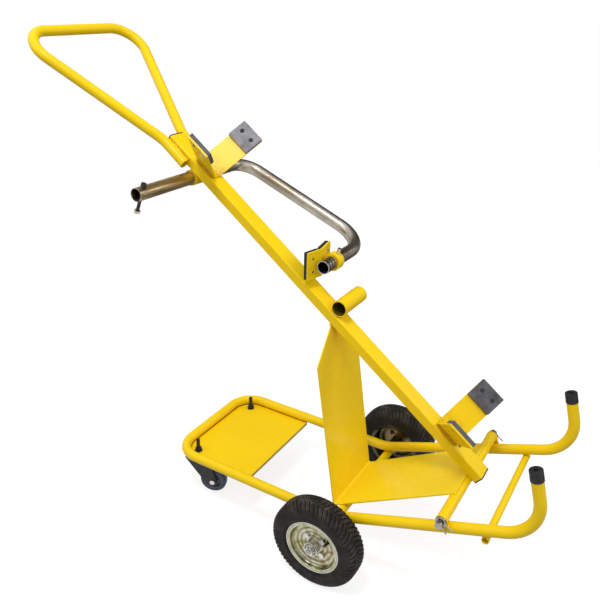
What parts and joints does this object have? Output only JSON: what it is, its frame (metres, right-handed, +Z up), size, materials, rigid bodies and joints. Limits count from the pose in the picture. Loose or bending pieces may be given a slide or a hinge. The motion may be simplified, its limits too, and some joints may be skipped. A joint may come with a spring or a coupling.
{
  "type": "gas cylinder lifting trolley",
  "caption": "Tilting cylinder trolley: a beam with V cradles, clamp arm and push handle pivots on a forked tube frame with tyred wheels and swivel casters.",
  "frame": {"origin": "on the floor, under the centre of the whole trolley's box", "axes": "+X from the platform to the prongs, +Y away from the clamp arm's open end, +Z up"},
  "size_m": [1.3162, 0.5266, 1.1682],
  "materials": {
    "yellow_paint": "glossy powder coat",
    "chrome_tube": "polished",
    "black_rubber": "slightly glossy",
    "pad_rubber": "satin",
    "tyre_rubber": "matt",
    "zinc_rim": "yellow passivated zinc",
    "bright_steel": "zinc plated",
    "black_steel": "satin black",
    "caster_rubber": "satin",
    "caster_plastic": "satin",
    "black_plastic": "satin"
  },
  "bodies": {
    "chassis": {"near_rail": "yellow_paint", "far_rail": "yellow_paint", "platform_tube": "yellow_paint", "near_prong_cap": "black_rubber", "far_prong_cap": "black_rubber", "brace_tube": "yellow_paint", "axle_tube": "yellow_paint", "platform_deck": "yellow_paint", "axle_rod": "bright_steel", "axle_nuts": "bright_steel", "caster_heads": "black_steel", "caster_stem_nuts": "black_steel", "near_pivot_lug": "yellow_paint", "far_pivot_lug": "yellow_paint", "pivot_pin": "bright_steel", "pivot_washers": "black_steel"},
    "cradle": {"pivot_tube": "yellow_paint", "gusset_plate": "yellow_paint", "beam": "yellow_paint", "lower_beam_cap": "black_plastic", "upper_beam_cap": "black_plastic", "handle_loop": "yellow_paint", "upper_cradle": "yellow_paint", "lower_cradle": "yellow_paint", "upper_near_pad": "pad_rubber", "upper_far_pad": "pad_rubber", "lower_near_pad": "pad_rubber", "lower_far_pad": "pad_rubber", "pad_screws": "black_steel", "arm_sleeve": "yellow_paint", "stub_tube": "yellow_paint"},
    "arm": {"clamp_arm": "chrome_tube", "stop_screw": "black_steel", "stop_nut": "bright_steel"},
    "pad_head": {"pad_collar": "yellow_paint", "set_screw": "bright_steel", "pad_bracket": "yellow_paint", "near_bracket_rubber": "black_rubber", "far_bracket_rubber": "black_rubber", "bracket_screws": "black_steel"},
    "near_wheel": {"near_tyre": "tyre_rubber", "near_rim_outer": "zinc_rim", "near_rim_inner": "zinc_rim", "near_hub": "bright_steel", "near_rim_bolts": "bright_steel"},
    "near_caster": {"near_caster_fork": "black_steel", "near_caster_axle": "bright_steel"},
    "near_caster_wheel": {"near_caster_tread": "caster_rubber", "near_caster_hub": "caster_plastic"},
    "near_clip": {"near_spring_clip": "bright_steel"},
    "far_wheel": {"far_tyre": "tyre_rubber", "far_rim_outer": "zinc_rim", "far_rim_inner": "zinc_rim", "far_hub": "bright_steel", "far_rim_bolts": "bright_steel"},
    "far_caster": {"far_caster_fork": "black_steel", "far_caster_axle": "bright_steel"},
    "far_caster_wheel": {"far_caster_tread": "caster_rubber", "far_caster_hub": "caster_plastic"},
    "far_clip": {"far_spring_clip": "bright_steel"}
  },
  "joints": [
    {"name": "cradle_tilt", "type": "hinge", "parent": "chassis", "child": "cradle", "pos_m": [0.46678, 0, 0.26228], "axis": [0, 1, 0], "range_deg": [0, 52.37]},
    {"name": "arm_swing", "type": "hinge", "parent": "cradle", "child": "arm", "pos_m": [-0.28983, 0, 0.83731], "axis": [0, -1, 0], "range_deg": [0, 110]},
    {"name": "pad_turn", "type": "hinge", "parent": "arm", "child": "pad_head", "pos_m": [0.08083, 0, 0.68507], "axis": [0, 1, 0], "range_deg": [-90, 90]},
    {"name": "near_wheel_spin", "type": "hinge", "parent": "chassis", "child": "near_wheel", "pos_m": [0.20373, -0.22, 0.11], "axis": [0, 1, 0], "continuous": true},
    {"name": "near_caster_swivel", "type": "hinge", "parent": "chassis", "child": "near_caster", "pos_m": [-0.22427, -0.121, 0], "axis": [0, 0, 1], "continuous": true},
    {"name": "near_caster_spin", "type": "hinge", "parent": "near_caster", "child": "near_caster_wheel", "pos_m": [-0.18683, -0.10693, 0.036], "axis": [-0.3518, 0.9361, 0], "continuous": true},
    {"name": "near_clip_pull", "type": "slide", "parent": "chassis", "child": "near_clip", "axis": [-0.5446, 0, 0.8387], "range_m": [0, 0.045]},
    {"name": "far_wheel_spin", "type": "hinge", "parent": "chassis", "child": "far_wheel", "pos_m": [0.20373, 0.22, 0.11], "axis": [0, 1, 0], "continuous": true},
    {"name": "far_caster_swivel", "type": "hinge", "parent": "chassis", "child": "far_caster", "pos_m": [-0.22427, 0.121, 0], "axis": [0, 0, 1], "continuous": true},
    {"name": "far_caster_spin", "type": "hinge", "parent": "far_caster", "child": "far_caster_wheel", "pos_m": [-0.18683, 0.13507, 0.036], "axis": [-0.3518, 0.9361, 0], "continuous": true},
    {"name": "far_clip_pull", "type": "slide", "parent": "chassis", "child": "far_clip", "axis": [-0.5446, 0, 0.8387], "range_m": [0, 0.045]}
  ]
}
